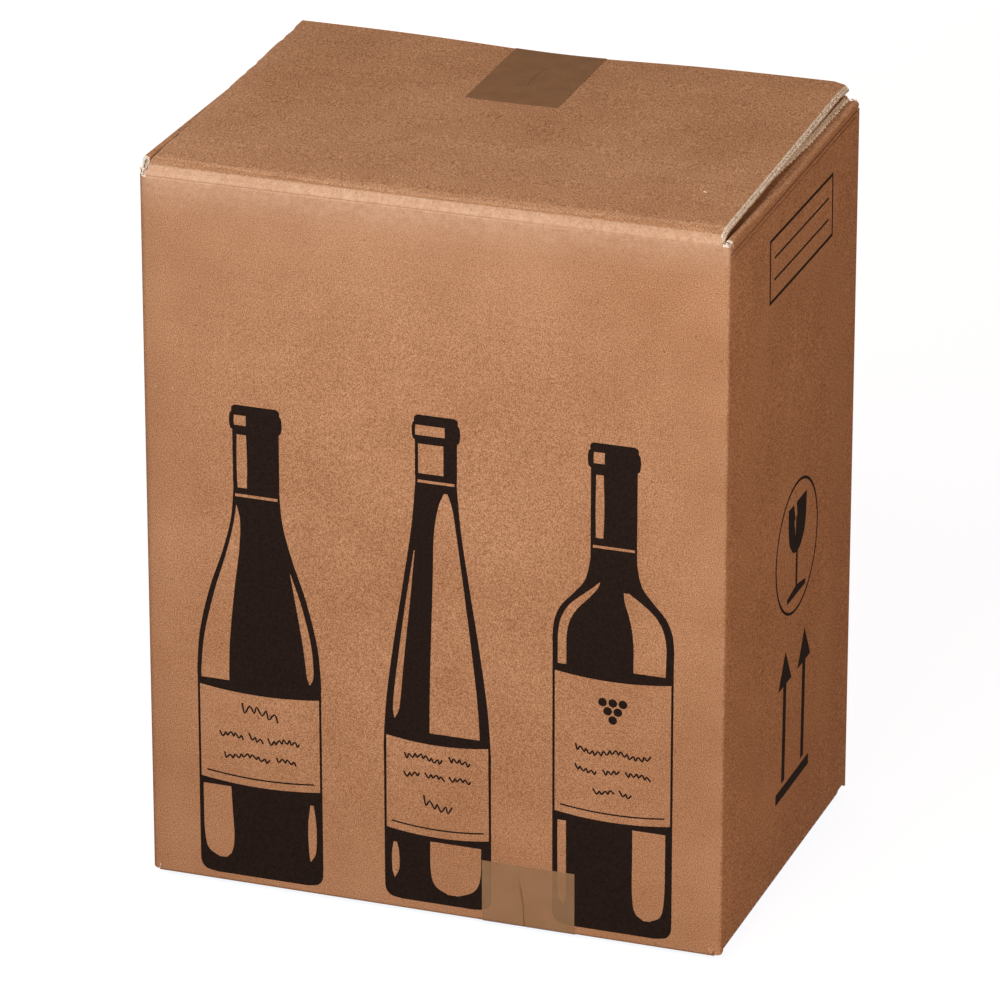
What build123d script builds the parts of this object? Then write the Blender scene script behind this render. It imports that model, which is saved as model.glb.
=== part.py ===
from build123d import *
from math import asin, atan2, pi, tan
import os

# A closed shipping carton for six bottles: one sheet of corrugated board, folded round and glued at one
# corner, with four overlapping flaps at each end. Two strips of packing tape hold it shut.
# Millimetres. Origin at the centre of the footprint, on the floor; +Z up; the front faces -Y.

# Carton, measured over the outside
WIDTH = 311.0
DEPTH = 218.0
SCORE_HEIGHT = 390.0  # the top score lines, above the floor

# Corrugated board
BOARD = 3.0
LINER = 0.4
FLUTE_PITCH = 6.5
FLUTE_WEB = 0.6
FLUTE_POCKET = 4.0  # how far the open flutes are cut in from a flap's edge
LAYER_GAP = 0.15  # air between two flaps that lie on each other

# Folds
CORNER_RADIUS = 3.6
FLAP_FOLD_RADIUS = 4.0
DUST_FOLD_RADIUS = 3.4
CREASE_RADIUS = 3.0
INNER_FOLD_RADIUS = 0.3
SLOT_BELOW_SCORE = 6.0
SCORE_DEPTH = 0.4
SCORE_WIDTH = 1.6
FRONT_SCORE_BELOW = 2.4
DUST_SCORES_BELOW = (4.6, 7.4)  # below the crest of the dust fold

# Top flaps: heights above the score lines, lengths from the fold
OUTER_FOLD_RISE = 2.0
OUTER_CREASE_AT = 11.0
OUTER_CREASE_RISE = 4.4
OUTER_EDGE_RISE = 9.6
OUTER_EDGE_INSET = 0.4
DUST_RISE_FRONT = -2.2
DUST_RISE_BACK = 2.4
INNER_EDGE_INSET = 12.0

# Bottom flaps
BOTTOM_SLOT_HEIGHT = 10.5
BOTTOM_OUTER_EDGE_INSET = 12.0
BOTTOM_INNER_EDGE_INSET = 12.0

# Widths of the flaps, as insets from the ends of their panels
FLAP_INSET = 4.0
DUST_FRONT_INSET = 4.0
DUST_BACK_INSET = 4.0
DUST_JOINT_INSET = 7.0  # on the left, where the glued tab lies inside the back panel
DUST_MEETING_GAP = 8.0
SLOT = 0.8
POST_TOP_RISE = 0.5
POST_BOTTOM_HEIGHT = 3.4

# Glued joint at the back left corner
JOINT_TAB = 35.0
JOINT_EDGE_INSET = 1.2

# Packing tape
TAPE_WIDTH = 50.0
TAPE = 0.1
TAPE_CORNER_RADIUS = 0.35
TOP_TAPE_CENTRE = -7.0
TOP_TAPE_ON_FLAP = 78.0
TOP_TAPE_ON_BACK = 42.0
BOTTOM_TAPE_CENTRE = 52.0
BOTTOM_TAPE_ON_FRONT = 38.0
BOTTOM_TAPE_UNDER = 48.0

RIGHT = WIDTH / 2
FRONT = -DEPTH / 2
BACK = DEPTH / 2
LAYER = BOARD + LAYER_GAP
SLOT_TOP = SCORE_HEIGHT - SLOT_BELOW_SCORE
INNER_BOTTOM_Z = LAYER
DUST_BOTTOM_Z = 2 * LAYER
UP = Vector(0, 0, 1)
INWARD = {
    "front": Vector(0, 1, 0),
    "back": Vector(0, -1, 0),
    "left": Vector(1, 0, 0),
    "right": Vector(-1, 0, 0),
}


def right_normal(start, end):
    """Unit vector to the right of the way from start to end, in a section's own plane."""
    way = (end - start).normalized()
    return Vector(way.Y, -way.X)


def strip_section(points, radii, thickness):
    """Section of a folded strip: a line with rounded corners and the same line moved to its right.

    A negative thickness moves it to the left.
    """
    points = [Vector(p) for p in points]
    normals = [right_normal(a, b) for a, b in zip(points, points[1:])]
    moved = [points[0] + normals[0] * thickness]
    moved_radii = []
    for corner, before, after, radius in zip(points[1:-1], normals, normals[1:], radii):
        moved.append(corner + (before + after) * (thickness / (1 + before.dot(after))))
        turns_right = before.cross(after).Z < 0
        moved_radii.append(max(radius - thickness if turns_right else radius + thickness, INNER_FOLD_RADIUS))
    moved.append(points[-1] + normals[-1] * thickness)
    near = FilletPolyline(*points, radius=radii)
    far = FilletPolyline(*moved, radius=moved_radii)
    ends = [Line(points[0], moved[0]), Line(points[-1], moved[-1])]
    return make_face(near.edges() + far.edges() + ends)


def fold_plane(panel, top):
    """Plane across a panel's fold: x runs inward from the panel's outer face, y up (top) or down."""
    inward = INWARD[panel]
    half = BACK if panel in ("front", "back") else RIGHT
    outward = UP if top else -UP
    return Plane(origin=inward * -half, x_dir=inward, z_dir=inward.cross(outward))


def along_fold(face, panel, top, start, end, rise=0.0):
    """Extrude a section along its fold from start to end, climbing by rise on the way."""
    axis = Vector(1, 0, 0) if panel in ("front", "back") else Vector(0, 1, 0)
    path = axis * (end - start) + UP * rise
    placed = Pos(*(axis * start)) * (fold_plane(panel, top) * face)
    return extrude(placed, amount=path.length, dir=path)


def dust_top(y):
    """Height of the upper face of the top dust flaps, which climb towards the back."""
    climb = (DUST_RISE_BACK - DUST_RISE_FRONT) / DEPTH
    return SCORE_HEIGHT + DUST_RISE_FRONT + climb * (y - FRONT)


def flute_pockets(start, end, panel, top, spans):
    """Open flutes in cut edges, between two points of the outer line; spans are their depths along the fold.

    Triangles that point up and down by turns leave the two liners and a zigzag of paper between them.
    """
    start = Vector(start)
    end = Vector(end)
    way = (end - start).normalized()
    inward = right_normal(start, end)
    half_base = (FLUTE_PITCH - 2 * FLUTE_WEB) / 2
    pockets = []
    count = int((end - start).length / FLUTE_PITCH)
    for i in range(count):
        for offset, base, tip in ((0.5, LINER, BOARD - LINER), (1.0, BOARD - LINER, LINER)):
            middle = start + way * (FLUTE_PITCH * (i + offset) - FLUTE_PITCH / 4)
            corners = (
                middle - way * half_base + inward * base,
                middle + way * half_base + inward * base,
                middle + inward * tip,
            )
            triangle = make_face(Polyline(*corners, close=True))
            pockets += [along_fold(triangle, panel, top, near, far) for near, far in spans]
    return pockets


def cross_flap(panel, top, points, radii, fluted):
    """A flap on the front or back panel, with open flutes on its straight run from the point numbered fluted."""
    edge = RIGHT - FLAP_INSET
    flap = along_fold(strip_section(points, radii, BOARD), panel, top, -edge, edge)
    first = Vector(points[fluted])
    way = (Vector(points[fluted + 1]) - first).normalized()
    spans = ((edge - FLUTE_POCKET, edge), (-edge, FLUTE_POCKET - edge))
    return flap - flute_pockets(first + way * FLAP_FOLD_RADIUS, points[fluted + 1], panel, top, spans)


def dust_ends(panel):
    """Where a dust flap begins and ends along its side panel."""
    return FRONT + DUST_FRONT_INSET, BACK - (DUST_JOINT_INSET if panel == "left" else DUST_BACK_INSET)


def dust_flap(panel, top):
    """A dust flap on a side panel; it meets the one opposite near the middle of the carton."""
    first, last = dust_ends(panel)
    rise = dust_top(last) - dust_top(first) if top else 0.0
    fold_height = dust_top(first) if top else -DUST_BOTTOM_Z
    slot = SLOT_TOP - rise if top else -BOTTOM_SLOT_HEIGHT
    length = (WIDTH - DUST_MEETING_GAP) / 2
    points = [(0, slot), (0, fold_height), (length, fold_height)]
    section = strip_section(points, [DUST_FOLD_RADIUS], BOARD)
    return along_fold(section, panel, top, first, last, rise)


def score_groove(panel, height, start, end, rise=0.0):
    """A pressed score line across the outer face of a panel."""
    half = SCORE_WIDTH / 2
    outside = SCORE_DEPTH / 2
    corners = ((-outside, height - half), (SCORE_DEPTH, height), (-outside, height + half))
    return along_fold(make_face(Polyline(*corners, close=True)), panel, True, start, end, rise)


def wrap_section():
    """Plan of the four panels as one strip, with the tab of the glued joint inside the back panel."""
    around = [
        (JOINT_EDGE_INSET - RIGHT, BACK),
        (RIGHT, BACK),
        (RIGHT, FRONT),
        (-RIGHT, FRONT),
        (-RIGHT, 0),
    ]
    tab = [(-RIGHT, 0), (-RIGHT, BACK - BOARD), (BOARD + JOINT_TAB - RIGHT, BACK - BOARD)]
    return strip_section(around, [CORNER_RADIUS] * 3, BOARD) + strip_section(tab, [CORNER_RADIUS], BOARD)


def corner_posts(plan):
    """The parts of the wrap between the corner slots, as short posts past the panels' ends."""
    size = FLAP_INSET - SLOT
    squares = Sketch() + [
        Pos(x * (RIGHT - size / 2), y * (BACK - size / 2)) * Rectangle(size, size) for x in (-1, 1) for y in (-1, 1)
    ]
    posts = plan & squares
    upper = extrude(Pos(0, 0, SLOT_TOP) * posts, amount=SCORE_HEIGHT + POST_TOP_RISE - SLOT_TOP)
    lower = extrude(Pos(0, 0, POST_BOTTOM_HEIGHT) * posts, amount=BOTTOM_SLOT_HEIGHT - POST_BOTTOM_HEIGHT)
    return upper + lower


def outer_flap_line():
    """Outer line of the top outer flap, from the front panel over the fold and the crease to its free edge."""
    return [
        (0, SLOT_TOP),
        (0, SCORE_HEIGHT + OUTER_FOLD_RISE),
        (OUTER_CREASE_AT, SCORE_HEIGHT + OUTER_CREASE_RISE),
        (DEPTH - OUTER_EDGE_INSET, SCORE_HEIGHT + OUTER_EDGE_RISE),
    ]


def top_flaps():
    inner = [
        (0, SLOT_TOP),
        (0, dust_top(BACK) + LAYER),
        (DEPTH - INNER_EDGE_INSET, dust_top(FRONT + INNER_EDGE_INSET) + LAYER),
    ]
    flaps = [dust_flap(side, True) for side in ("left", "right")]
    flaps.append(cross_flap("back", True, inner, [FLAP_FOLD_RADIUS], 1))
    flaps.append(cross_flap("front", True, outer_flap_line(), [FLAP_FOLD_RADIUS, CREASE_RADIUS], 2))
    return flaps


def bottom_flaps():
    inner = [(0, -BOTTOM_SLOT_HEIGHT), (0, -INNER_BOTTOM_Z), (DEPTH - BOTTOM_INNER_EDGE_INSET, -INNER_BOTTOM_Z)]
    outer = [(0, -BOTTOM_SLOT_HEIGHT), (0, 0), (DEPTH - BOTTOM_OUTER_EDGE_INSET, 0)]
    flaps = [dust_flap(side, False) for side in ("left", "right")]
    flaps.append(cross_flap("front", False, inner, [FLAP_FOLD_RADIUS], 1))
    flaps.append(cross_flap("back", False, outer, [FLAP_FOLD_RADIUS], 1))
    return flaps


def score_grooves():
    """The scores beside the front fold and, two on each side, below the dust folds."""
    grooves = [score_groove("front", SCORE_HEIGHT - FRONT_SCORE_BELOW, FLAP_INSET - RIGHT, RIGHT - FLAP_INSET)]
    for side in ("left", "right"):
        first, last = dust_ends(side)
        rise = dust_top(last) - dust_top(first)
        for below in DUST_SCORES_BELOW:
            grooves.append(score_groove(side, dust_top(first) - below, first, last, rise))
    return grooves


def joint_flutes():
    """Open flutes down the cut edge of the back panel, beside the glued joint."""
    edge = JOINT_EDGE_INSET - RIGHT
    return flute_pockets((0, BOTTOM_SLOT_HEIGHT), (0, SLOT_TOP), "back", True, ((edge, edge + FLUTE_POCKET),))


def tape_imprint():
    """The tape presses its own thickness into the underside, so that the carton stands flat."""
    first = FRONT + BOTTOM_OUTER_EDGE_INSET
    length = BOTTOM_TAPE_UNDER - BOTTOM_OUTER_EDGE_INSET
    place = Pos(BOTTOM_TAPE_CENTRE, first + length / 2, TAPE / 2)
    return place * Box(TAPE_WIDTH, length, TAPE)


def make_carton():
    plan = wrap_section()
    wrap = extrude(Pos(0, 0, BOTTOM_SLOT_HEIGHT) * plan, amount=SLOT_TOP - BOTTOM_SLOT_HEIGHT)
    carton = wrap + corner_posts(plan) + top_flaps() + bottom_flaps()
    return carton - score_grooves() - joint_flutes() - tape_imprint()


def make_top_tape():
    """Along the outer flap to its free edge, over it, and down the back panel."""
    crease = Vector(outer_flap_line()[2])
    edge = Vector(outer_flap_line()[3])
    slope = (edge.Y - crease.Y) / (edge.X - crease.X)
    start = DEPTH - TOP_TAPE_ON_FLAP
    corner_height = edge.Y + slope * OUTER_EDGE_INSET
    line = [
        (start, edge.Y + slope * (start - edge.X)),
        (DEPTH, corner_height),
        (DEPTH, corner_height - TOP_TAPE_ON_BACK),
    ]
    section = strip_section(line, [TAPE_CORNER_RADIUS], -TAPE)
    half = TAPE_WIDTH / 2
    return along_fold(section, "front", True, TOP_TAPE_CENTRE - half, TOP_TAPE_CENTRE + half)


def make_bottom_tape():
    """Down the front panel, round its bottom fold, across the step to the outer flap and under it."""
    # The stretch across the step is the tangent from beside the flap's free edge to the fold's arc.
    step_at = BOTTOM_OUTER_EDGE_INSET - TAPE_CORNER_RADIUS
    fold_centre = Vector(FLAP_FOLD_RADIUS, INNER_BOTTOM_Z + FLAP_FOLD_RADIUS)
    to_centre = fold_centre - Vector(step_at, TAPE)
    tangent = atan2(to_centre.Y, to_centre.X) + asin(FLAP_FOLD_RADIUS / to_centre.length)
    turn = tangent - pi / 2
    line = [
        (0, BOTTOM_TAPE_ON_FRONT),
        (0, fold_centre.Y - FLAP_FOLD_RADIUS * tan(turn / 2)),
        (step_at, TAPE),
        (BOTTOM_TAPE_UNDER, TAPE),
    ]
    section = strip_section(line, [FLAP_FOLD_RADIUS, TAPE_CORNER_RADIUS], TAPE)
    half = TAPE_WIDTH / 2
    return along_fold(section, "front", True, BOTTOM_TAPE_CENTRE - half, BOTTOM_TAPE_CENTRE + half)


NODES = {
    "carton": make_carton,
    "top_tape": make_top_tape,
    "bottom_tape": make_bottom_tape,
}

os.makedirs("parts", exist_ok=True)
for node, make in NODES.items():
    export_step(make(), f"parts/{node}.step")
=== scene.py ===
import math
import bmesh
import bpy
import numpy as np
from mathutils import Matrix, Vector
from mathutils.geometry import delaunay_2d_cdt


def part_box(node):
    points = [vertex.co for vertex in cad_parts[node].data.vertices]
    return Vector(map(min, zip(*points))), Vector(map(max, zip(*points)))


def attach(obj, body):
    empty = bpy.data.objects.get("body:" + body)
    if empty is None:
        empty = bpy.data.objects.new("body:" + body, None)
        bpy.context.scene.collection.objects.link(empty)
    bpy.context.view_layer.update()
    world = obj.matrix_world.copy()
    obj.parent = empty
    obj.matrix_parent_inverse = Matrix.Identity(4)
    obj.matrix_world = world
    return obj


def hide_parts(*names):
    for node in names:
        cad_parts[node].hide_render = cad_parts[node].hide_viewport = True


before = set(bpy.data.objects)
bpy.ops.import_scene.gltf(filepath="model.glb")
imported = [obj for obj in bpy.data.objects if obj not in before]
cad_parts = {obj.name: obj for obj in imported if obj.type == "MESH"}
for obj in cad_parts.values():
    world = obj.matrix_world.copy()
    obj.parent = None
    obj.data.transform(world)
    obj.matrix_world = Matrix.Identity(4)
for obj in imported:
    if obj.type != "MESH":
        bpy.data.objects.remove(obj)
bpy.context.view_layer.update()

# Sizes are in millimetres, and vertices are written in metres.
MM = 0.001
carton_low, carton_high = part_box("carton")
WIDTH = (carton_high.x - carton_low.x) / MM
DEPTH = (carton_high.y - carton_low.y) / MM
HEIGHT = carton_high.z / MM
RIGHT = WIDTH / 2
FRONT = -DEPTH / 2
BACK = DEPTH / 2

# Corrugated board
BOARD = 3.0
LINER = 0.5
MEDIUM = 0.55
FLUTE_PITCH = 6.5
FLUTE_DEPTH = 1.1
CRUSH = 2.0
INNER_CRUSH = 1.2
CRUSH_DROP = 1.7
LAYER_GAP = 0.15
LAYER = BOARD + LAYER_GAP
CUT_STRIP = 1.2
DENT = 2.2
NICK = 0.35
LINER_SLOT = 0
EDGE_SLOT = 1

# Heights of the scores, slots and folds
SCORE = HEIGHT - 9.6
SLOT_TOP = SCORE - 6.0
SLOT_BOTTOM = 10.5
POST_TOP = SCORE - 2.4
POST_TOP_STEP = 0.6
TORN_POST_TOP = SCORE - 3.0
TORN_POST_STEP = 4.2
POST_BOTTOM = 4.6
POST_BOTTOM_STEP = 1.0
FRONT_SCORE = SCORE - 1.2
FACET = (3.4, SCORE + 2.4)
OUTER_CREASE = (11.0, SCORE + 4.4)
OUTER_EDGE = (DEPTH - 0.4, HEIGHT)
DUST_FRONT = SCORE - 2.2
DUST_BACK = SCORE + 2.4
OUTER_LINE = [(0, SLOT_TOP), (0, FRONT_SCORE), FACET, OUTER_CREASE, OUTER_EDGE]
OUTER_SLOPE = (OUTER_EDGE[1] - OUTER_CREASE[1]) / (OUTER_EDGE[0] - OUTER_CREASE[0])

# Insets of the flaps
FLAP_INSET = 4.0
DUST_INSET = 4.0
LEFT_DUST_INSET = 7.0
JOINT_INSET = 7.0
SLOT = 0.05
INNER_EDGE_INSET = 12.0
BOTTOM_EDGE_INSET = 12.0
DUST_LENGTH = WIDTH / 2 - 4.0

# Folds
CORNER_RADIUS = 2.0
LEFT_CORNER_RADIUS = 3.8
FOLD_RADIUS = 4.0
BOTTOM_FOLD_RADIUS = 2.2
DUST_RADIUS = 2.2
FACET_RADII = (3.2, 1.0)
SOFT_FACET_RADIUS = 9.0
SOFT_FROM = (0.0, 90.0)
CREASE_RADIUS = 3.0
ARC_STEP = 0.6
STRAIGHT = 1e-6
SHARP_ANGLE = math.radians(32)
TAB = 35.0
JOINT_EDGE = 1.2 - RIGHT

# How the sheet has settled
SWELL = 0.9
FLAP_LIFT = 0.9
FLAP_LIFT_POWER = 1.4
FLAP_DIP = 2.6
FLAP_DIP_AT = -5.0
FLAP_DIP_HALF_WIDTH = 62.0
CORNER_DROOP = 1.5
DROOP_REACH = (8.0, 18.0)
BEAD = 0.6
LEFT_ROLL = 7.8
RIGHT_ROLL = 1.9
RIGHT_SAG = 1.4
RIGHT_SAG_SHARE = 0.22
DUST_DIP = 0.4
DUST_DIP_SPAN = (1.6, 6.5)
ROLL_WALL = 3.8
ROLL_ENDS = {"left": (3.4, 4.3), "right": (2.6, 5.2)}
ROLL_SLOPE = {"left": 0.06, "right": 0.0}
ROLL_SLOPE_SPAN = (1.6, 3.4)
LEFT_LEAN = 0.3
INNER_FLAP_SHIFT = 1.8
INNER_FLAP_SKEW = 3.7
INNER_SKEW_SPAN = (DEPTH * 0.25, DEPTH * 0.62)
INNER_FLAP_DROP = 1.0
INNER_FLAP_RAGGED = 0.9
FLAP_RAGGED = 0.8
FLAP_FRAY = 0.4
FLAP_SKEW = 2.2
LEFT_EDGE_SHIFT = 0.3
LEFT_EDGE_REACH = 12.0
CLOSED_SHARE = 0.04
MARGIN = 0.01
GROOVE_AT = 5.0
GROOVE_BOW = 5.0
GROOVE_NEAREST_X = 10.0
GROOVE_DEPTH = 0.26
GROOVE_WIDTH = 0.7
GROOVE_LIP = 0.12
GROOVE_LIP_BEHIND = 2.0
GROOVE_LIP_WIDTH = 0.8
SCORE_FADE = 0.7
SCORE_FADE_SPAN = (20.0, 100.0)
SCORE_LINE_DEPTH = 0.26
SCORE_LINE_BELOW = 1.3
FRONT_LINE_WIDTH = 0.36
DUST_LINE_DEPTH = 0.58
SCORE_LINE_WIDTH = 0.5
DUST_SCORES_BELOW = (4.6, 7.4)
# Painted shade in the pressed lines below the dust folds and on the rounded front left corner: how dark, and
# how wide
DUST_SCORE_PAINTED_SHADES = (0.75, 0.3)
PAINTED_SHADE_WIDTH = 0.45
CORNER_PAINTED_SHADE = 0.3
CORNER_PAINTED_SHADE_WIDTH = 3.5

# Where the liner is rubbed pale, and where a painted sheen pales the front below its top fold: how much, and
# over how many millimetres
FACET_WEAR = (0.14, 1.0)
CORNER_WEAR = (0.4, 1.6)
BOTTOM_WEAR = (0.3, 2.0)
BELOW_SCORE_WEAR = (0.6, 12.0)
LIP_WEAR = (0.25, 1.2)
RIM_WEAR = (0.5, 0.8)
# A painted sheen on the front below its top fold, and where it fades out towards the right
FRONT_PAINTED_SHEEN = (0.12, 70.0)
PAINTED_SHEEN_END_SPAN = (30.0, 120.0)

# Packing tape
TAPE = 0.1
TAPE_LIFT = 0.2
FLOOR_GAP = 0.02
TAPE_EDGE_RADIUS = 0.5
CREASE_SPAN = (-7.0, 4.0)
CREASE_STEP = 0.2
CREASE_FADE = 4.0
TAPE_SPACING = 0.9
TAPE_ARC_STEP = 0.15

# Print
INK_LIFT = 0.07
INK_UNDER = 0.01
INK_GRID = 9.0
LINE = 1.2
PEN = 0.45
WORD_GAP = 2.2
LABEL_SAG = 2.4
LABEL_RULE = (4.0, 4.8)

# Handling marks on the right side: places across it and heights
MARKS_Y = 8.0
RING_Z = 184.0
RING_RADII = (36.3, 34.7)
GLASS_RIM = RING_Z + 25.0
GLASS_FOOT = RING_Z - 27.0
ARROW_OFFSETS = (-16.4, 16.4)
ARROW_BASE = 58.0
ARROW_TIP = 131.5
BAR_HALF = 28.3
BAR_HEIGHTS = (49.0, 55.0)
FIELD_SPAN = (FRONT + 64.5, FRONT + 171.5)
FIELD_HEIGHTS = (334.0, 368.5)
FIELD_LINE = 1.7
RULE_SPAN = (FRONT + 72.0, FRONT + 164.0)
RULE_HEIGHTS = (344.8, 356.3)

# Torn paper
TEAR_THICKNESS = 0.22
TEAR_CURL = 0.55
FLAKE = (126.0, 50.4)  # across the outer top flap, and behind the front panel


class Sheet:
    """Vertices and quads of one piece, gathered strip by strip."""

    def __init__(self):
        self.points = []
        self.faces = []
        self.slots = []
        self.across = []
        self.count = 0

    def add(self, points, across):
        first = self.count
        self.points.append(points)
        self.across.append(across)
        self.count += len(points)
        return first

    def face(self, corners, slot):
        self.faces.append([int(c) for c in corners])
        self.slots.append(slot)


def rounded_path(corners, radii, spacings, arc_step=ARC_STEP):
    """Points, outward normals and lengths along a line with rounded corners.

    The board lies to the right of the line.
    """
    corners = [np.array(c, float) for c in corners]
    points = [corners[0]]

    def run_to(end, spacing):
        start = points[-1]
        steps = max(1, math.ceil(np.linalg.norm(end - start) / spacing))
        for k in range(1, steps + 1):
            points.append(start + (end - start) * k / steps)

    for before, corner, after, radius, spacing in zip(corners, corners[1:], corners[2:], radii, spacings):
        way_in = (corner - before) / np.linalg.norm(corner - before)
        way_out = (after - corner) / np.linalg.norm(after - corner)
        cross = way_in[0] * way_out[1] - way_in[1] * way_out[0]
        turn = math.atan2(cross, way_in @ way_out)
        run_to(corner - way_in * radius * math.tan(abs(turn) / 2), spacing)
        if abs(turn) < STRAIGHT:
            continue
        side = math.copysign(1, turn)
        to_centre = np.array([-way_in[1], way_in[0]]) * side * radius
        centre = points[-1] + to_centre
        steps = max(3, math.ceil(abs(turn) * radius / arc_step))
        for k in range(1, steps + 1):
            a = turn * k / steps
            spoke = -to_centre
            points.append(centre + np.array([
                spoke[0] * math.cos(a) - spoke[1] * math.sin(a),
                spoke[0] * math.sin(a) + spoke[1] * math.cos(a),
            ]))
    run_to(corners[-1], spacings[-1])
    points = np.array(points)
    ways = np.gradient(points, axis=0)
    ways /= np.linalg.norm(ways, axis=1)[:, None]
    normals = np.stack([-ways[:, 1], ways[:, 0]], 1)
    lengths = np.concatenate([[0], np.cumsum(np.linalg.norm(np.diff(points, axis=0), axis=1))])
    return points, normals, lengths


def add_strip(sheet, path, near, far, stations, place, slot=EDGE_SLOT, edge_slot=EDGE_SLOT, across="path"):
    """A layer between two depths under a path's outer line, swept through the stations as a closed strip.

    across says what each point keeps: its length along the path, its station, or a function of both.
    """
    points, normals, lengths = path
    n = len(points)
    rows = []
    for a in stations:
        row = []
        for depth in (near, far):
            if callable(depth):
                depth = depth(points, a)
            depth = np.broadcast_to(np.asarray(depth, float), (n,))
            if callable(across):
                value = across(np.full(n, a), lengths)
            else:
                value = lengths if across == "path" else np.full(n, a)
            row.append(sheet.add(place(points - normals * depth[:, None], a), value))
        rows.append(row)
    for (near0, far0), (near1, far1) in zip(rows, rows[1:]):
        for i in range(n - 1):
            sheet.face((near0 + i, near0 + i + 1, near1 + i + 1, near1 + i), slot)
            sheet.face((far0 + i, far1 + i, far1 + i + 1, far0 + i + 1), slot)
        for i in (0, n - 1):
            sheet.face((near0 + i, near1 + i, far1 + i, far0 + i), edge_slot)
    for near0, far0 in (rows[0], rows[-1]):
        for i in range(n - 1):
            sheet.face((near0 + i, far0 + i, far0 + i + 1, near0 + i + 1), edge_slot)


def make_piece(name, sheet, materials):
    """One mesh object from a sheet, with smooth faces, sharp edges and what its materials read at each point.

    across is the place across the flutes, or the painted shade in a film's crease; the other two are wear
    with a painted sheen, and painted shade.
    """
    mesh = bpy.data.meshes.new(name)
    points = np.concatenate(sheet.points)
    mesh.from_pydata([tuple(p) for p in points * MM], [], sheet.faces)
    for material in materials:
        mesh.materials.append(material)
    mesh.polygons.foreach_set("material_index", sheet.slots)
    bm = bmesh.new()
    bm.from_mesh(mesh)
    bmesh.ops.recalc_face_normals(bm, faces=bm.faces)
    bm.to_mesh(mesh)
    bm.free()
    across = np.concatenate(sheet.across)
    # The liner reads wear with a painted sheen, and painted shade
    for layer, values in (("across", across), ("wear_and_sheen", fold_wear_and_sheen(points)), ("painted_shade", painted_score_shade(points))):
        attribute = mesh.attributes.new(layer, "FLOAT", "POINT")
        attribute.data.foreach_set("value", values.astype(np.float32))
    mesh.polygons.foreach_set("use_smooth", [True] * len(mesh.polygons))
    mesh.set_sharp_from_angle(angle=SHARP_ANGLE)
    piece = bpy.data.objects.new(name, mesh)
    bpy.context.scene.collection.objects.link(piece)
    return piece


def bell(distance, width):
    """A smooth hump: 1 at no distance, falling away over the width."""
    return np.exp(-((distance / width) ** 2))


def pale_hump(distance, amount, width):
    return amount * bell(distance, width)


def fold_wear_and_sheen(points):
    """How pale the liner is at each point, from 0 to 1: rubbed at the folds of the front and the corners,
    with a painted sheen on the front below its top fold.
    """
    x, y, z = points.T
    run, rise = FACET[0], FACET[1] - FRONT_SCORE
    along = np.clip(((y - FRONT) * run + (z - FRONT_SCORE) * rise) / (run**2 + rise**2), 0, 1)
    facet = np.hypot(y - FRONT - along * run, z - FRONT_SCORE - along * rise)
    corners = np.hypot(np.abs(x) - RIGHT, y - FRONT)
    bottom = np.hypot(y - FRONT, z - LAYER)
    lip = np.hypot(y - FRONT - groove_place(x) - GROOVE_LIP_BEHIND, z - FACET[1] - 1.0)
    rim = x + RIGHT - FLAP_INSET - 0.5
    ticks = 0.55 + 0.45 * np.sin(2 * math.pi * z / FLUTE_PITCH)
    sheen_ends = 1 - ease(x, *PAINTED_SHEEN_END_SPAN)
    wear_and_sheen = pale_hump(facet, *FACET_WEAR) + ticks * pale_hump(corners, *CORNER_WEAR) + pale_hump(bottom, *BOTTOM_WEAR)
    wear_and_sheen += pale_hump(lip, *LIP_WEAR) + pale_hump(rim, *RIM_WEAR) * (z > FACET[1])
    wear_and_sheen += pale_hump(z - FRONT_SCORE, *BELOW_SCORE_WEAR) * (y < FRONT + 4)
    # Painted sheen: the front is paler towards its top fold, fading out towards the right
    wear_and_sheen += pale_hump(z - FRONT_SCORE, *FRONT_PAINTED_SHEEN) * (y < FRONT + 1) * sheen_ends
    return np.clip(wear_and_sheen, 0, 1)


def painted_score_shade(points):
    """Painted shade at each point, from 0 to 1: in the pressed lines below the dust folds and on the rounded
    front left corner.
    """
    x, y, z = points.T
    below = DUST_FRONT + dust_rise(y) - z
    on_side = (np.abs(x) > RIGHT - 1) & (np.abs(y) < BACK - 1)
    shades = zip(DUST_SCORES_BELOW, DUST_SCORE_PAINTED_SHADES)
    lines = on_side * sum(shade * bell(below - at, PAINTED_SHADE_WIDTH) for at, shade in shades)
    # Painted shade on the rounded front left corner
    corner = CORNER_PAINTED_SHADE * bell(x + RIGHT, CORNER_PAINTED_SHADE_WIDTH) * (y < FRONT + BOARD)
    return np.clip(lines + corner, 0, 1)


def groove_place(x):
    """How far behind the front panel the outer top flap's pressed line runs; it bows away at both ends."""
    return GROOVE_AT + GROOVE_BOW * ((x - GROOVE_NEAREST_X) / RIGHT) ** 2


def ease(value, low, high):
    """From 0 at low to 1 at high, with soft ends."""
    t = np.clip((value - low) / (high - low), 0, 1)
    return t * t * (3 - 2 * t)


def tatter(along, fast, slow, phase):
    """An irregular wave along a cut edge."""
    return np.sin(along * fast) * np.sin(along * slow + phase)


# Where the sheet goes

def panel_swell(points, facing):
    """Walls bulge a little between their folds; facing is the outward normal in plan."""
    x, y, z = points.T
    middle = (SLOT_TOP + SLOT_BOTTOM) / 2
    half = (SLOT_TOP - SLOT_BOTTOM) / 2
    facing = np.broadcast_to(facing, (len(points), 2))
    fx = np.clip(1 - (x / RIGHT) ** 2, 0, 1)
    fy = np.clip(1 - (y / BACK) ** 2, 0, 1)
    fz = np.clip(1 - ((z - middle) / half) ** 2, 0, 1)
    amount = SWELL * fz * (np.abs(facing[:, 1]) * fx + np.abs(facing[:, 0]) * fy)
    moved = points.copy()
    moved[:, :2] += facing * amount[:, None]
    return moved


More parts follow.
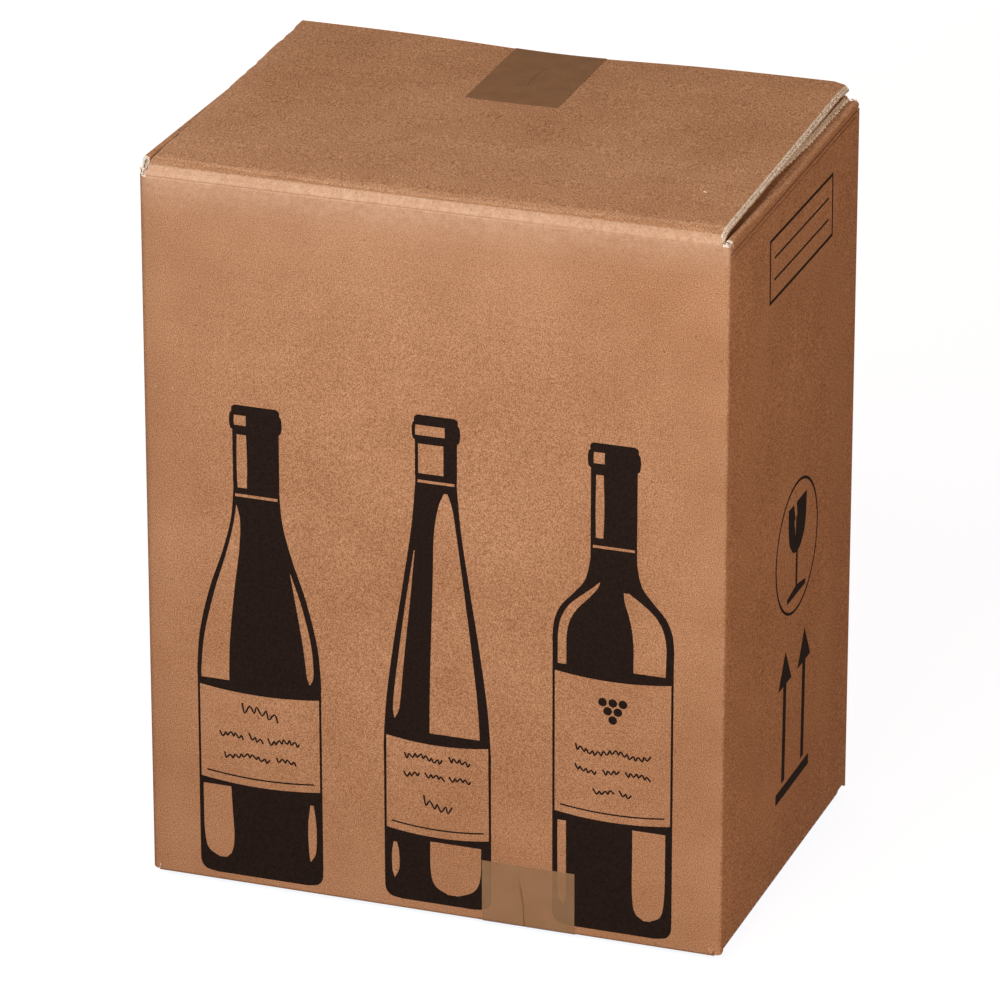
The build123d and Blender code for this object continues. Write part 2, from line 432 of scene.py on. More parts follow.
def flap_lift(x, u):
    """How far the outer top flap has bowed away from flat: up at its sides, down where the tape holds it."""
    dip = FLAP_DIP * bell(x - FLAP_DIP_AT, FLAP_DIP_HALF_WIDTH)
    reach = np.clip((u - OUTER_CREASE[0]) / (DEPTH - OUTER_CREASE[0]), 0, 1) ** FLAP_LIFT_POWER
    edge = RIGHT - FLAP_INSET
    corner = ease(x, edge - DROOP_REACH[0], edge) * ease(u, DEPTH - DROOP_REACH[1], DEPTH)
    return (FLAP_LIFT - dip) * reach - CORNER_DROOP * corner


def place_bottom(panel):
    """Points in the carton's frame of a section (inward, down) of the front or back panel's bottom flap."""
    sign = 1 if panel == "front" else -1

    def place(section, x):
        u, v = section.T
        return np.stack([np.full(len(u), x), sign * (FRONT + u), -v], 1)

    return place


def place_outer_flap(section, x):
    """The outer top flap: its left edge is ragged, its right edge is crushed and frayed, and it lies askew.

    The slope of the right edge starts at the front fold.
    """
    u, v = section.T
    edge = RIGHT - FLAP_INSET
    beyond_fold = ease(v, FRONT_SCORE, FACET[1])
    if edge - x <= CRUSH + MARGIN:
        across = edge - (edge - x) * (CLOSED_SHARE + (1 - CLOSED_SHARE) * beyond_fold)
        if edge - x < CRUSH / 3:
            across = across - FLAP_FRAY * beyond_fold * np.clip(tatter(u, 2.3, 0.9, 0.4) + 0.3, 0, 1)
    else:
        shift = LEFT_EDGE_SHIFT * max(0.0, 1 - (x + edge) / LEFT_EDGE_REACH)
        if x < MARGIN - edge:
            shift = shift + FLAP_RAGGED * np.clip(np.sin(u * 1.15) + np.sin(u * 0.47 + 1.0), 0, 1)
        across = x + shift * beyond_fold
    across = across - FLAP_SKEW * max(0.0, x / edge) * np.clip(u / DEPTH, 0, 1)
    return np.stack([across, FRONT + u, v + flap_lift(x, u) + fold_softness(x, u)], 1)


# The outer flap's line with its sharp fold, and with the rounder fold that it has on the right
SHARP_FOLD, SOFT_FOLD = (
    rounded_path(OUTER_LINE, [FACET_RADII[0], radius, CREASE_RADIUS], [0.5, 0.1, 0.1, 50.0], 0.1)[0].T
    for radius in (FACET_RADII[1], SOFT_FACET_RADIUS)
)


def fold_softness(x, u):
    """How far the outer flap's fold lies below its sharp line towards the right, where it is rounder."""
    drop = np.interp(u, *SOFT_FOLD) - np.interp(u, *SHARP_FOLD)
    return drop * (u > 1.0) * ease(x, *SOFT_FROM)


def dust_rise(y):
    """How far a dust fold has risen at y above its front end."""
    return (DUST_BACK - DUST_FRONT) * (y - FRONT) / DEPTH


def dust_settle(panel, u, v, y):
    """How a dust fold's roll stands above or below its flap, and how the flap dips inside the roll."""
    t = (y - FRONT) / DEPTH
    if panel == "left":
        roll = LEFT_ROLL * (1 - t)
    else:
        roll = RIGHT_ROLL * (1 - t) ** 3 - RIGHT_SAG * bell(t - 0.5, RIGHT_SAG_SHARE)
    wall = np.clip((v - DUST_FRONT + ROLL_WALL) / ROLL_WALL, 0, 1)
    slope = 1 - ROLL_SLOPE[panel] * ease(u, *ROLL_SLOPE_SPAN)
    return roll * wall * slope * (1 - ease(u, *ROLL_ENDS[panel])) - DUST_DIP * ease(u, *DUST_DIP_SPAN)


def place_side(panel, top):
    """Points in the carton's frame of a section (inward, up or down) of a side panel's top or bottom flap."""
    sign = 1 if panel == "left" else -1

    def place(section, y):
        u, v = section.T
        z = v + dust_rise(y) + dust_settle(panel, u, v, y) if top else -v
        if top and panel == "left":
            above_wall = np.clip((v + dust_rise(y) - SLOT_TOP) / (DUST_FRONT - SLOT_TOP), 0, 1)
            u = u + LEFT_LEAN * (BACK - y) / DEPTH * above_wall
        return np.stack([sign * (u - RIGHT), np.full(len(u), y), z], 1)

    return place


def place_inner_flap(section, x):
    """The inner top flap lies a little askew and lower on the right, where its cut edge is ragged."""
    u, v = section.T
    lean = max(0.0, x / RIGHT)
    beyond_fold = ease(v, SLOT_TOP, DUST_BACK + LAYER)
    shift = lean * (INNER_FLAP_SHIFT * beyond_fold + INNER_FLAP_SKEW * ease(u, *INNER_SKEW_SPAN))
    if x > RIGHT - FLAP_INSET - FLUTE_DEPTH / 2:
        shift = shift + INNER_FLAP_RAGGED * tatter(u, 2.6, 1.13, 0.8)
    drop = INNER_FLAP_DROP * lean**3 * np.clip((v - SLOT_TOP) / (SCORE - SLOT_TOP), 0, 1)
    return np.stack([x - shift, BACK - u, v - drop], 1)


def stations(start, end, spacing):
    """Even places from start to end, no further apart than the spacing."""
    return np.linspace(start, end, max(2, math.ceil((end - start) / spacing) + 1))


def flute_wave(lengths, pitch=FLUTE_PITCH):
    """Depths of the two faces of the wavy middle paper at lengths along a path."""
    swing = (BOARD - 2 * LINER - MEDIUM) / 2
    wave = BOARD / 2 + swing * np.sin(2 * math.pi * lengths / pitch)
    return wave - MEDIUM / 2, wave + MEDIUM / 2


def crushed_edge(lengths, end, crush):
    """Depth of an edge that is crushed aslant, with dents between its flutes and small nicks."""
    between = np.clip(np.sin(4 * math.pi * lengths / FLUTE_PITCH) - 0.5, 0, 1)
    pits = between * (0.6 + 0.4 * np.sin(lengths * 0.83))

    def depth(points, a):
        share = 1 - (end - a) / crush
        nicks = NICK * tatter(lengths, 1.7, 0.61, 0.7) * share
        dents = DENT * pits * math.sin(math.pi * share) ** 4
        return np.clip(0.1 + CRUSH_DROP * share + dents + nicks, 0, BOARD - LINER - 0.05)

    return depth


def add_board_flap(sheet, corners, radii, spacings, start, end, spacing, place,
                   relief=0.0, crush=0.0, arc_step=ARC_STEP):
    """A flap of corrugated board: two liners, a core, and cut edges with open flutes.

    Where crush is given, the edge at the end is crushed aslant over that width.
    """
    path = rounded_path(corners, radii, spacings, arc_step)
    whole = np.concatenate([[start], stations(start + CUT_STRIP, end - crush, spacing)])
    if crush:
        whole = np.insert(whole, -1, end - DROOP_REACH[0])
    coarse = spacing * 3
    inside = stations(start + FLUTE_DEPTH, end - FLUTE_DEPTH, coarse)
    add_strip(sheet, path, relief, LINER, whole, place, LINER_SLOT)
    add_strip(sheet, path, BOARD - LINER, BOARD, stations(start, end, coarse), place, LINER_SLOT)
    add_strip(sheet, path, LINER, BOARD - LINER, inside, place)
    fine = rounded_path(corners, radii, [FLUTE_PITCH / 8] * len(spacings))
    wave = flute_wave(fine[2])
    add_strip(sheet, fine, *wave, (start, start + FLUTE_DEPTH), place)
    if crush:
        slope = crushed_edge(fine[2], end, crush)
        edge = stations(end - crush, end, crush / 6)
        add_strip(sheet, fine, slope, BOARD - LINER, edge, place)
    else:
        add_strip(sheet, fine, *wave, (end - FLUTE_DEPTH, end), place)


def front_score(points, x):
    """The pressed lines below the front fold and behind it on the flap; both fade to the right."""
    u, z = points.T
    fade = 1 - SCORE_FADE * ease(x, *SCORE_FADE_SPAN)
    below = SCORE_LINE_DEPTH * bell(z - FRONT_SCORE + SCORE_LINE_BELOW, FRONT_LINE_WIDTH) * (u < BOARD / 2)
    behind = u - groove_place(x)
    groove = GROOVE_DEPTH * bell(behind, GROOVE_WIDTH)
    lip = GROOVE_LIP * bell(behind - GROOVE_LIP_BEHIND, GROOVE_LIP_WIDTH)
    return fade * (below + groove - lip)


def dust_lines(below):
    """Depth of the pressed lines at a distance below a dust fold."""
    return DUST_LINE_DEPTH * sum(bell(below - at, SCORE_LINE_WIDTH) for at in DUST_SCORES_BELOW)


def dust_relief(points, y):
    """The rolled bead of a dust fold and the pressed lines below it."""
    u, v = points.T
    below = DUST_FRONT - v
    bead = BEAD * bell(below - 1.0, 1.6) * bell(u - 1.0, 2.4)
    return dust_lines(below) * (u < 1) - bead


def wrap_relief(points, z):
    """The dust folds' pressed lines where they run down onto the side panels."""
    x, y = points.T
    on_side = (np.abs(x) > RIGHT - 1) & (y > FRONT + DUST_INSET) & (y < BACK - DUST_INSET)
    return dust_lines(DUST_FRONT + dust_rise(y) - z) * on_side


def add_wrap(sheet):
    """Front, sides and the tab of the glued joint as one strip, the back panel as a board with a cut edge."""
    turn = RIGHT - 12.0
    corners = [(turn, BACK), (RIGHT, BACK), (RIGHT, FRONT), (-RIGHT, FRONT), (-RIGHT, BACK - BOARD)]
    corners.append((TAB - RIGHT, BACK - BOARD))
    radii = [CORNER_RADIUS, CORNER_RADIUS, LEFT_CORNER_RADIUS, CORNER_RADIUS]
    path = rounded_path(corners, radii, [10.0] * 5)
    normals = path[1]

    def place(section, z):
        flat = np.column_stack([section, np.full(len(section), z)])
        return panel_swell(flat, normals)

    fine_from = SLOT_TOP - 6.0
    levels = np.concatenate([stations(SLOT_BOTTOM, fine_from, 8.0), stations(fine_from, SLOT_TOP, 0.3)[1:]])
    add_strip(sheet, path, wrap_relief, BOARD, levels, place, LINER_SLOT, across="station")

    def place_back(section, x):
        flat = np.column_stack([np.full(len(section), x), BACK - section[:, 0], section[:, 1]])
        return panel_swell(flat, (0, 1))

    add_board_flap(sheet, [(0, SLOT_BOTTOM), (0, SLOT_TOP)], [], [12.0], JOINT_EDGE, turn, 12.0, place_back)
    post_end = FLAP_INSET - SLOT - RIGHT
    for low, high in ((POST_BOTTOM, SLOT_BOTTOM), (SLOT_TOP, POST_TOP)):
        add_board_flap(sheet, [(0, low), (0, high)], [], [1.0], JOINT_EDGE, post_end, 1.0, place_back)


def add_posts(sheet):
    """The corners of the wrap between the slots: their ends are crushed aslant and show the flutes."""
    size = FLAP_INSET - SLOT
    joint = JOINT_INSET - SLOT
    core = 0.7
    for sx, sy, under, side in ((1, 1, 0, size), (1, -1, 0, size), (-1, -1, 0, size), (-1, 1, BOARD, joint)):
        start = (sx * (RIGHT - size), sy * (BACK - under))
        corner = (sx * RIGHT, sy * (BACK - under))
        end = (sx * RIGHT, sy * (BACK - side))
        line = [start, corner, end] if sx * sy > 0 else [end, corner, start]
        torn = sx < 0 and sy < 0
        path = rounded_path(line, [LEFT_CORNER_RADIUS if torn else CORNER_RADIUS], [0.4, 0.4], 0.3)
        wave = flute_wave(path[2], FLUTE_PITCH / 2)
        top = (TORN_POST_TOP, TORN_POST_STEP) if torn else (POST_TOP, POST_TOP_STEP)
        for root, (height, step) in ((SLOT_BOTTOM, (POST_BOTTOM, POST_BOTTOM_STEP)), (SLOT_TOP, top)):

            def place(section, share):
                beside = np.clip((BACK - np.abs(section[:, 1])) / size, 0, 1)
                return np.column_stack([section, root + (height + step * beside - root) * share])

            for near, far in ((0.0, LINER), (BOARD - LINER, BOARD * 0.9)):
                add_strip(sheet, path, near, far, (0, 1), place, LINER_SLOT, across="station")
            add_strip(sheet, path, LINER, BOARD - LINER, (0, core), place, across="station")
            add_strip(sheet, path, *wave, (core, 1), place)


def add_top_flaps(sheet):
    edge = RIGHT - FLAP_INSET
    add_board_flap(sheet, OUTER_LINE, [*FACET_RADII, CREASE_RADIUS], [0.2, 0.3, 0.3, 5.0], -edge, edge, 12.0,
                   place_outer_flap, front_score, CRUSH, 0.2)
    inner_back = DUST_BACK + LAYER
    inner_front = DUST_FRONT + dust_rise(FRONT + INNER_EDGE_INSET) + LAYER
    inner = [(0, SLOT_TOP), (0, inner_back), (DEPTH - INNER_EDGE_INSET, inner_front)]
    add_board_flap(sheet, inner, [FOLD_RADIUS], [1.0, 0.8], -edge, edge, 30.0, place_inner_flap,
                   crush=INNER_CRUSH)
    dust = [(0, SLOT_TOP - dust_rise(BACK)), (0, DUST_FRONT), (12, DUST_FRONT), (DUST_LENGTH, DUST_FRONT)]
    for panel, first, last in (("left", LEFT_DUST_INSET, JOINT_INSET), ("right", DUST_INSET, DUST_INSET)):
        add_board_flap(sheet, dust, [DUST_RADIUS, 1.0], [0.3, 0.4, 8.0], FRONT + first, BACK - last, 9.0,
                       place_side(panel, True), dust_relief)


def add_bottom_flaps(sheet):
    edge = RIGHT - FLAP_INSET
    inner = [(0, -SLOT_BOTTOM), (0, -LAYER), (DEPTH - INNER_EDGE_INSET, -LAYER)]
    add_board_flap(sheet, inner, [BOTTOM_FOLD_RADIUS], [1.0, 8.0], -edge, edge, 12.0, place_bottom("front"))
    outer = [(0, -SLOT_BOTTOM), (0, -TAPE), (DEPTH - BOTTOM_EDGE_INSET, -TAPE)]
    add_board_flap(sheet, outer, [FOLD_RADIUS], [1.0, 8.0], -edge, edge, 12.0, place_bottom("back"))
    dust = [(0, -SLOT_BOTTOM), (0, -2 * LAYER), (DUST_LENGTH, -2 * LAYER)]
    for panel, last in (("left", JOINT_INSET), ("right", DUST_INSET)):
        add_board_flap(sheet, dust, [DUST_RADIUS], [1.0, 8.0], FRONT + DUST_INSET, BACK - last, 12.0,
                       place_side(panel, False))


# Materials

# The grain of the paper is longer along the carton's depth
GRAIN_SHARES = (1.0, 0.34, 0.9)


def new_material(name):
    material = bpy.data.materials.new(name)
    material.use_nodes = True
    tree = material.node_tree
    return material, tree, tree.nodes["Principled BSDF"]


def object_coords(tree):
    return add_node(tree, "ShaderNodeTexCoord").outputs["Object"]


def add_node(tree, kind, links=(), **values):
    """A node with values on its sockets and links as (socket name or number, output socket) pairs."""
    node = tree.nodes.new(kind)
    for key, value in values.items():
        if hasattr(node, key):
            setattr(node, key, value)
        else:
            node.inputs[key].default_value = value
    for name, output in links:
        tree.links.new(output, node.inputs[name])
    return node


def srgb(r, g, b):
    """Linear colour of an 8-bit display colour."""
    def linear(c):
        c /= 255
        return c / 12.92 if c <= 0.04045 else ((c + 0.055) / 1.055) ** 2.4
    return (linear(r), linear(g), linear(b), 1.0)


def noise(tree, coords, scale, detail=3.0, roughness=0.6):
    links = [("Vector", coords)]
    node = add_node(tree, "ShaderNodeTexNoise", links, Scale=scale, Detail=detail, Roughness=roughness)
    return node.outputs["Fac"]


def plug(tree, value, socket):
    """Link a socket to an output, or set its value."""
    if isinstance(value, bpy.types.NodeSocket):
        tree.links.new(value, socket)
    else:
        socket.default_value = value


def ramp(tree, value, low, high, low_colour=(0, 0, 0, 1), high_colour=(1, 1, 1, 1)):
    node = add_node(tree, "ShaderNodeValToRGB", [("Fac", value)])
    node.color_ramp.elements[0].position = low
    node.color_ramp.elements[0].color = low_colour
    node.color_ramp.elements[1].position = high
    node.color_ramp.elements[1].color = high_colour
    return node.outputs["Color"]


def mix(tree, factor, a, b, blend="MIX"):
    node = tree.nodes.new("ShaderNodeMix")
    node.data_type = "RGBA"
    node.blend_type = blend
    for name, value in (("Factor_Float", factor), ("A_Color", a), ("B_Color", b)):
        plug(tree, value, next(s for s in node.inputs if s.identifier == name))
    return next(s for s in node.outputs if s.identifier == "Result_Color")


def maths(tree, operation, *values):
    node = add_node(tree, "ShaderNodeMath", operation=operation)
    for value, socket in zip(values, node.inputs):
        plug(tree, value, socket)
    return node.outputs[0]


def stored(tree, name):
    """What the mesh keeps at each point under a name."""
    return add_node(tree, "ShaderNodeAttribute", attribute_name=name).outputs["Fac"]


def bump(tree, height, strength, distance, *under):
    """A bumped normal; under is a normal that it starts from."""
    links = [("Height", height)] + [("Normal", normal) for normal in under]
    return add_node(tree, "ShaderNodeBump", links, Strength=strength, Distance=distance).outputs[0]


def set_surface(tree, bsdf, base, normal, roughness, specular):
    tree.links.new(base, bsdf.inputs["Base Color"])
    tree.links.new(normal, bsdf.inputs["Normal"])
    bsdf.inputs["Roughness"].default_value = roughness
    bsdf.inputs["Specular IOR Level"].default_value = specular


def kraft_liner():
    """Brown paper with a fine grain, pale and dark specks, wear with a painted sheen, painted shade in its
    pressed lines and on the front left corner, and a hint of the flutes.
    """
    material, tree, bsdf = new_material("kraft_liner")
    coords = object_coords(tree)
    cloud = noise(tree, coords, 22.0, 3.0)
    coords = add_node(tree, "ShaderNodeMapping", [("Vector", coords)], Scale=GRAIN_SHARES).outputs["Vector"]
    fine = noise(tree, coords, 1700.0, 2.0, 0.6)
    base = ramp(tree, fine, 0.3, 0.72, srgb(146, 96, 62), srgb(223, 172, 133))
    clouded = mix(tree, 1.0, base, srgb(238, 232, 226), "MULTIPLY")
    base = mix(tree, ramp(tree, cloud, 0.3, 0.7), base, clouded)
    pale = ramp(tree, noise(tree, coords, 430.0, 2.0), 0.69, 0.77)
    base = mix(tree, pale, base, srgb(212, 168, 132))
    dark = ramp(tree, noise(tree, coords, 470.0, 2.0, 0.4), 0.71, 0.80)
    base = mix(tree, dark, base, srgb(150, 100, 68))
    patches = ramp(tree, noise(tree, coords, 420.0, 4.0), 0.1, 0.75)
    # Rubbed wear together with a painted sheen on the front
    paling = maths(tree, "MULTIPLY", stored(tree, "wear_and_sheen"), patches)
    base = mix(tree, paling, base, srgb(218, 180, 153))
    # Painted shade in the pressed lines below the dust folds and on the front left corner
    base = mix(tree, stored(tree, "painted_shade"), base, srgb(100, 61, 38))
    turns = maths(tree, "MULTIPLY", stored(tree, "across"), 2 * math.pi / FLUTE_PITCH)
    flutes = bump(tree, maths(tree, "SINE", turns), 0.6, 0.00003)
    set_surface(tree, bsdf, base, bump(tree, fine, 0.5, 0.0002, flutes), 0.82, 0.25)
    return material


def cut_paper():
    """Pale torn fibres with painted shade in small holes."""
    material, tree, bsdf = new_material("cut_paper")
    coords = object_coords(tree)
    fibre = noise(tree, coords, 900.0, 4.0, 0.7)
    base = ramp(tree, fibre, 0.3, 0.72, srgb(216, 192, 168), srgb(250, 241, 230))
    # Painted shade in small holes among the fibres
    painted_hole_shade = ramp(tree, noise(tree, coords, 1050.0, 1.0), 0.55, 0.68)
    base = mix(tree, painted_hole_shade, base, srgb(152, 120, 93))
    set_surface(tree, bsdf, base, bump(tree, fibre, 0.5, 0.0003), 0.9, 0.15)
    return material


def printing_ink():
    """Dull black ink, thin in spots."""
    material, tree, bsdf = new_material("printing_ink")
    coords = object_coords(tree)
    fine = noise(tree, coords, 700.0, 4.0, 0.65)
    base = ramp(tree, fine, 0.3, 0.75, srgb(30, 22, 18), srgb(47, 35, 31))
    thin = ramp(tree, noise(tree, coords, 420.0, 2.0), 0.72, 0.8)
    base = mix(tree, thin, base, srgb(84, 62, 50))
    set_surface(tree, bsdf, base, bump(tree, fine, 0.3, 0.0002), 0.85, 0.05)
    return material


def brown_tape(name, low, high, alpha):
    """Brown film that shows some of the board below it, with painted shade along its crease."""
    material, tree, bsdf = new_material(name)
    coords = object_coords(tree)
    cloud = noise(tree, coords, 90.0, 4.0)
    film = ramp(tree, cloud, 0.3, 0.7, srgb(*low), srgb(*high))
    # Painted shade along the crease
    base = mix(tree, stored(tree, "across"), film, srgb(84, 56, 36))
    set_surface(tree, bsdf, base, bump(tree, noise(tree, coords, 260.0, 3.0), 0.25, 0.0003), 0.42, 0.28)
    bsdf.inputs["Alpha"].default_value = alpha
    return material


# Tape

def ridge(across, along, line, height, width):
    """A crease along a line of (across, along) points, steep on its left and gentle on its right."""
    line = np.array(line)
    off = across - np.interp(along, line[:, 1], line[:, 0])
    starts = np.clip((along - line[0, 1]) / CREASE_FADE, 0, 1)
    ends = np.clip((line[-1, 1] - along) / CREASE_FADE, 0, 1)
    return height * starts * ends * bell(off, np.where(off < 0, width * 0.5, width))


def tape_stations(left, right, crease):
    """Places across a tape, close together near its crease."""
    middle = (left + right) / 2
    close = np.arange(middle + crease[0], middle + crease[1], CREASE_STEP)
    return np.unique(np.concatenate([stations(left, right, 1.0), close]))


def tape_sheet(line, radii, left, right, place, wrinkle, painted_crease_shade):
    """A film along a line; wrinkle is how far it stands off its line, and the last argument is the painted
    shade along its crease.
    """
    sheet = Sheet()
    path = rounded_path(line, radii, [TAPE_SPACING] * (len(line) - 1), TAPE_ARC_STEP)
    lengths = path[2]

    def near(points, x):
        return -wrinkle(np.full(len(points), x), lengths)

    def far(points, x):
        return TAPE - wrinkle(np.full(len(points), x), lengths)

    add_strip(sheet, path, near, far, tape_stations(left, right, CREASE_SPAN), place, 0, 0, painted_crease_shade)
    return sheet


def make_top_tape(material):
    """Along the outer flap, over its free edge and down the back panel."""
    low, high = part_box("top_tape")
    left, right = low.x / MM, high.x / MM
    start = low.y / MM - FRONT
    top = OUTER_EDGE[1] + OUTER_SLOPE * (DEPTH - OUTER_EDGE[0]) + TAPE_LIFT
    bottom = low.z / MM
    behind = DEPTH + TAPE_LIFT
    line = [(start, top - OUTER_SLOPE * (DEPTH - start)), (behind, top), (behind, bottom)]

    def place(section, x):
        u = section[:, 0]
        z = section[:, 1] + flap_lift(x, u) * np.clip((section[:, 1] - bottom) / (top - bottom), 0, 1)
        points = np.stack([np.full(len(u), x), FRONT + u, z], 1)
        return panel_swell(points, np.outer(u > DEPTH, (0, 1)))

    middle = (left + right) / 2
    crease = [(0.8, 22), (-1.0, 34), (-0.6, 46), (1.2, 58)]

    def wrinkle(x, s):
        second = ridge(x - middle, s, [(6.0, 14), (4.0, 30), (5.0, 40)], 0.15, 2.0)
        swells = 0.10 * np.sin(x * 0.35 + 1.1) * np.sin(s * 0.16)
        return ridge(x - middle, s, crease, 0.3, 1.2) + second + swells + 0.1

    # Painted shade along the crease
    def painted_crease_shade(x, s):
        return ridge(x - middle + 0.5, s, crease, 0.5, 0.5)

    sheet = tape_sheet(line, [TAPE_EDGE_RADIUS], left, right, place, wrinkle, painted_crease_shade)
    return make_piece("top_tape_film", sheet, [material])


def make_bottom_tape(material):
    """Down the front panel, round its bottom fold and under the outer flap."""
    low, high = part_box("bottom_tape")
    left, right = low.x / MM, high.x / MM
    top = high.z / MM
    under = high.y / MM - FRONT
    step = BOTTOM_EDGE_INSET - 0.6
    turn = LAYER - TAPE_LIFT
    line = [(under, FLOOR_GAP), (step, FLOOR_GAP), (FOLD_RADIUS, turn), (-TAPE_LIFT, turn), (-TAPE_LIFT, top)]

    def place(section, x):
        u, v = section.T
        points = np.stack([np.full(len(u), x), FRONT + u, v], 1)
        return panel_swell(points, np.outer(u < 0, (0, -1)))

    middle = (left + right) / 2
    crease = [(-4.4, 8), (-3.4, 14), (-2.2, 22), (-1.9, 30), (-2.0, 46)]

    def wrinkle(x, s):
        down = s[-1] - s
        fade = np.clip((top - 4 - down) / 5, 0, 1)
        swells = 0.07 * np.sin(x * 0.3 + 0.4) * np.sin(s * 0.2)
        return (ridge(x - middle, down, crease, 0.5, 1.0) + swells + 0.08) * fade

    # Painted shade along the crease
    def painted_crease_shade(x, s):
        return ridge(x - middle + 0.4, s[-1] - s, crease, 0.8, 0.4)

    radii = [TAPE_EDGE_RADIUS, TAPE_EDGE_RADIUS, BOTTOM_FOLD_RADIUS * 0.9]
    sheet = tape_sheet(line, radii, left, right, place, wrinkle, painted_crease_shade)
    return make_piece("bottom_tape_film", sheet, [material])


# Print

def curve(points, steps=10):
    """A smooth line through points."""
    points = np.array(points, float)
    ends = np.concatenate([[2 * points[0] - points[1]], points, [2 * points[-1] - points[-2]]])
    out = []
    for a, b, c, d in zip(ends, ends[1:], ends[2:], ends[3:]):
        for k in range(steps):
            t = k / steps
            square = 2 * a - 5 * b + 4 * c - d
            cube = 3 * b - a - 3 * c + d
            out.append(0.5 * (2 * b + (c - a) * t + square * t**2 + cube * t**3))
    out.append(points[-1])
    return np.array(out)


def circle(x, z, radius, steps=96):
    angles = np.linspace(0, 2 * math.pi, steps, endpoint=False)
    return np.stack([x + radius * np.cos(angles), z + radius * np.sin(angles)], 1)


def box(x0, z0, x1, z1):
    return np.array([(x0, z0), (x1, z0), (x1, z1), (x0, z1)], float)


def refine(outline, spacing):
    """The outline with points added on its long edges, so that it can follow a bent surface."""
    out = []
    for a, b in zip(outline, np.roll(outline, -1, 0)):
        steps = max(1, math.ceil(np.linalg.norm(b - a) / spacing))
        out += [a + (b - a) * k / steps for k in range(steps)]
    return np.array(out)


def inset(outline, distance):
    """The outline moved inward; outlines run anticlockwise."""
    ways = np.roll(outline, -1, 0) - outline
    ways /= np.linalg.norm(ways, axis=1)[:, None]
    normals = np.stack([-ways[:, 1], ways[:, 0]], 1)
    bisectors = normals + np.roll(normals, 1, 0)
    bisectors /= np.maximum((bisectors * normals).sum(1), 0.4)[:, None]
    return outline + bisectors * distance


def inside_outlines(points, outlines):
    """Which points lie within an odd number of outlines."""
    odd = np.zeros(len(points), bool)
    x, z = points.T
    for outline in outlines:
        for a, b in zip(outline, np.roll(outline, -1, 0)):
            crossed = (a[1] > z) != (b[1] > z)
            if crossed.any():
                odd ^= crossed & (x < a[0] + (z - a[1]) * (b[0] - a[0]) / (b[1] - a[1]))
    return odd


def add_print(sheet, outlines, surface):
    """A thin film of ink inside outlines, on a surface that bends a little; inner outlines are gaps."""
    points = []
    edges = []
    outlines = [refine(outline, INK_GRID) for outline in outlines]
    for outline in outlines:
        first = len(points)
        points += [Vector(p) for p in outline]
        edges += [(first + i, first + (i + 1) % len(outline)) for i in range(len(outline))]
    corners = np.concatenate(outlines)
    low = corners.min(0)
    high = corners.max(0)
    for x in np.arange(low[0] + INK_GRID / 2, high[0], INK_GRID):
        points += [Vector((x, z)) for z in np.arange(low[1] + INK_GRID / 2, high[1], INK_GRID)]
    flat, _, triangles, *_ = delaunay_2d_cdt(points, edges, [], 0, 1e-5)
    flat = np.array([tuple(p) for p in flat])
    triangles = np.array(triangles)
    triangles = triangles[inside_outlines(flat[triangles].mean(1), outlines)]
    used, triangles = np.unique(triangles, return_inverse=True)
    triangles = triangles.reshape(-1, 3)
    flat = flat[used]
    top = sheet.add(surface(flat, INK_LIFT), np.zeros(len(flat)))
    bottom = sheet.add(surface(flat, INK_UNDER), np.zeros(len(flat)))
    sides = {}
    for a, b, c in triangles:
        sheet.face((top + a, top + b, top + c), 0)
        sheet.face((bottom + c, bottom + b, bottom + a), 0)
        for edge in ((a, b), (b, c), (c, a)):
            sides[frozenset(edge)] = None if frozenset(edge) in sides else edge
    for edge in sides.values():
        if edge is not None:
            sheet.face((top + edge[0], bottom + edge[0], bottom + edge[1], top + edge[1]), 0)


def on_front(flat, lift):
    x, z = flat.T
    points = np.stack([x, np.full(len(x), FRONT - lift), z], 1)
    return panel_swell(points, (0, -1))


def on_right(flat, lift):
    y, z = flat.T
    points = np.stack([np.full(len(y), RIGHT + lift), y, z], 1)
    return panel_swell(points, (1, 0))


def bottle_sides(half, neck, height, shoulder):
    """Half width and height pairs up one side of a bottle; shoulder lists its curve."""
    foot = curve([(half - 9, 0), (half - 3.2, 1.2), (half - 0.5, 4.5), (half, 10)], 6)
    body = curve([(half, shoulder[0][1] - 6), *shoulder, (neck, shoulder[-1][1] + 6)], 10)
    lip = [(0, -13.6), (1.2, -12.4), (1.7, -8.6), (1.3, -4.8), (0.5, -3.6), (0.3, -1.2), (-1.4, 0)]
    return np.concatenate([foot, body, curve(np.array(lip) + (neck, height), 5)])


def bottle_outline(sides, x, foot):
    right = sides + (0, foot)
    left = right * (-1, 1)
    return np.concatenate([right, left[::-1]]) + (x, 0)


def gleam(sides, x, foot, spans):
    """A bare patch in dark glass; spans lists heights and the shares of the half width at its sides."""
    z, left, right = curve(spans, 8).T
    half = np.interp(z, sides[:, 1], sides[:, 0]) - LINE
    up = np.stack([x + right * half, foot + z], 1)
    down = np.stack([x + left * half, foot + z], 1)[::-1]
    return np.concatenate([up, down])


def scribble(x, z, half, height, words):
    """Jagged pen lines that stand for a row of words; words lists the strokes in each."""
    step = 2 * half / (sum(words) + WORD_GAP * (len(words) - 1))
    start = x - half
    lines = []
    for strokes in words:
        k = np.arange(strokes + 1)
        swing = height / 2 * (0.45 + 0.4 * np.sin(2.7 * k + start) + 0.5 * (k == 0)) * (-1.0) ** k
        line = curve(np.stack([start + step * (k + 0.25 * np.sin(4.1 * k + z)), z + swing], 1), 3)
        ways = np.gradient(line, axis=0)
        ways /= np.linalg.norm(ways, axis=1)[:, None]
        pen = PEN * np.stack([-ways[:, 1], ways[:, 0]], 1)
        lines.append(np.concatenate([line - pen, (line + pen)[::-1]]))
        start += step * (strokes + WORD_GAP)
    return lines


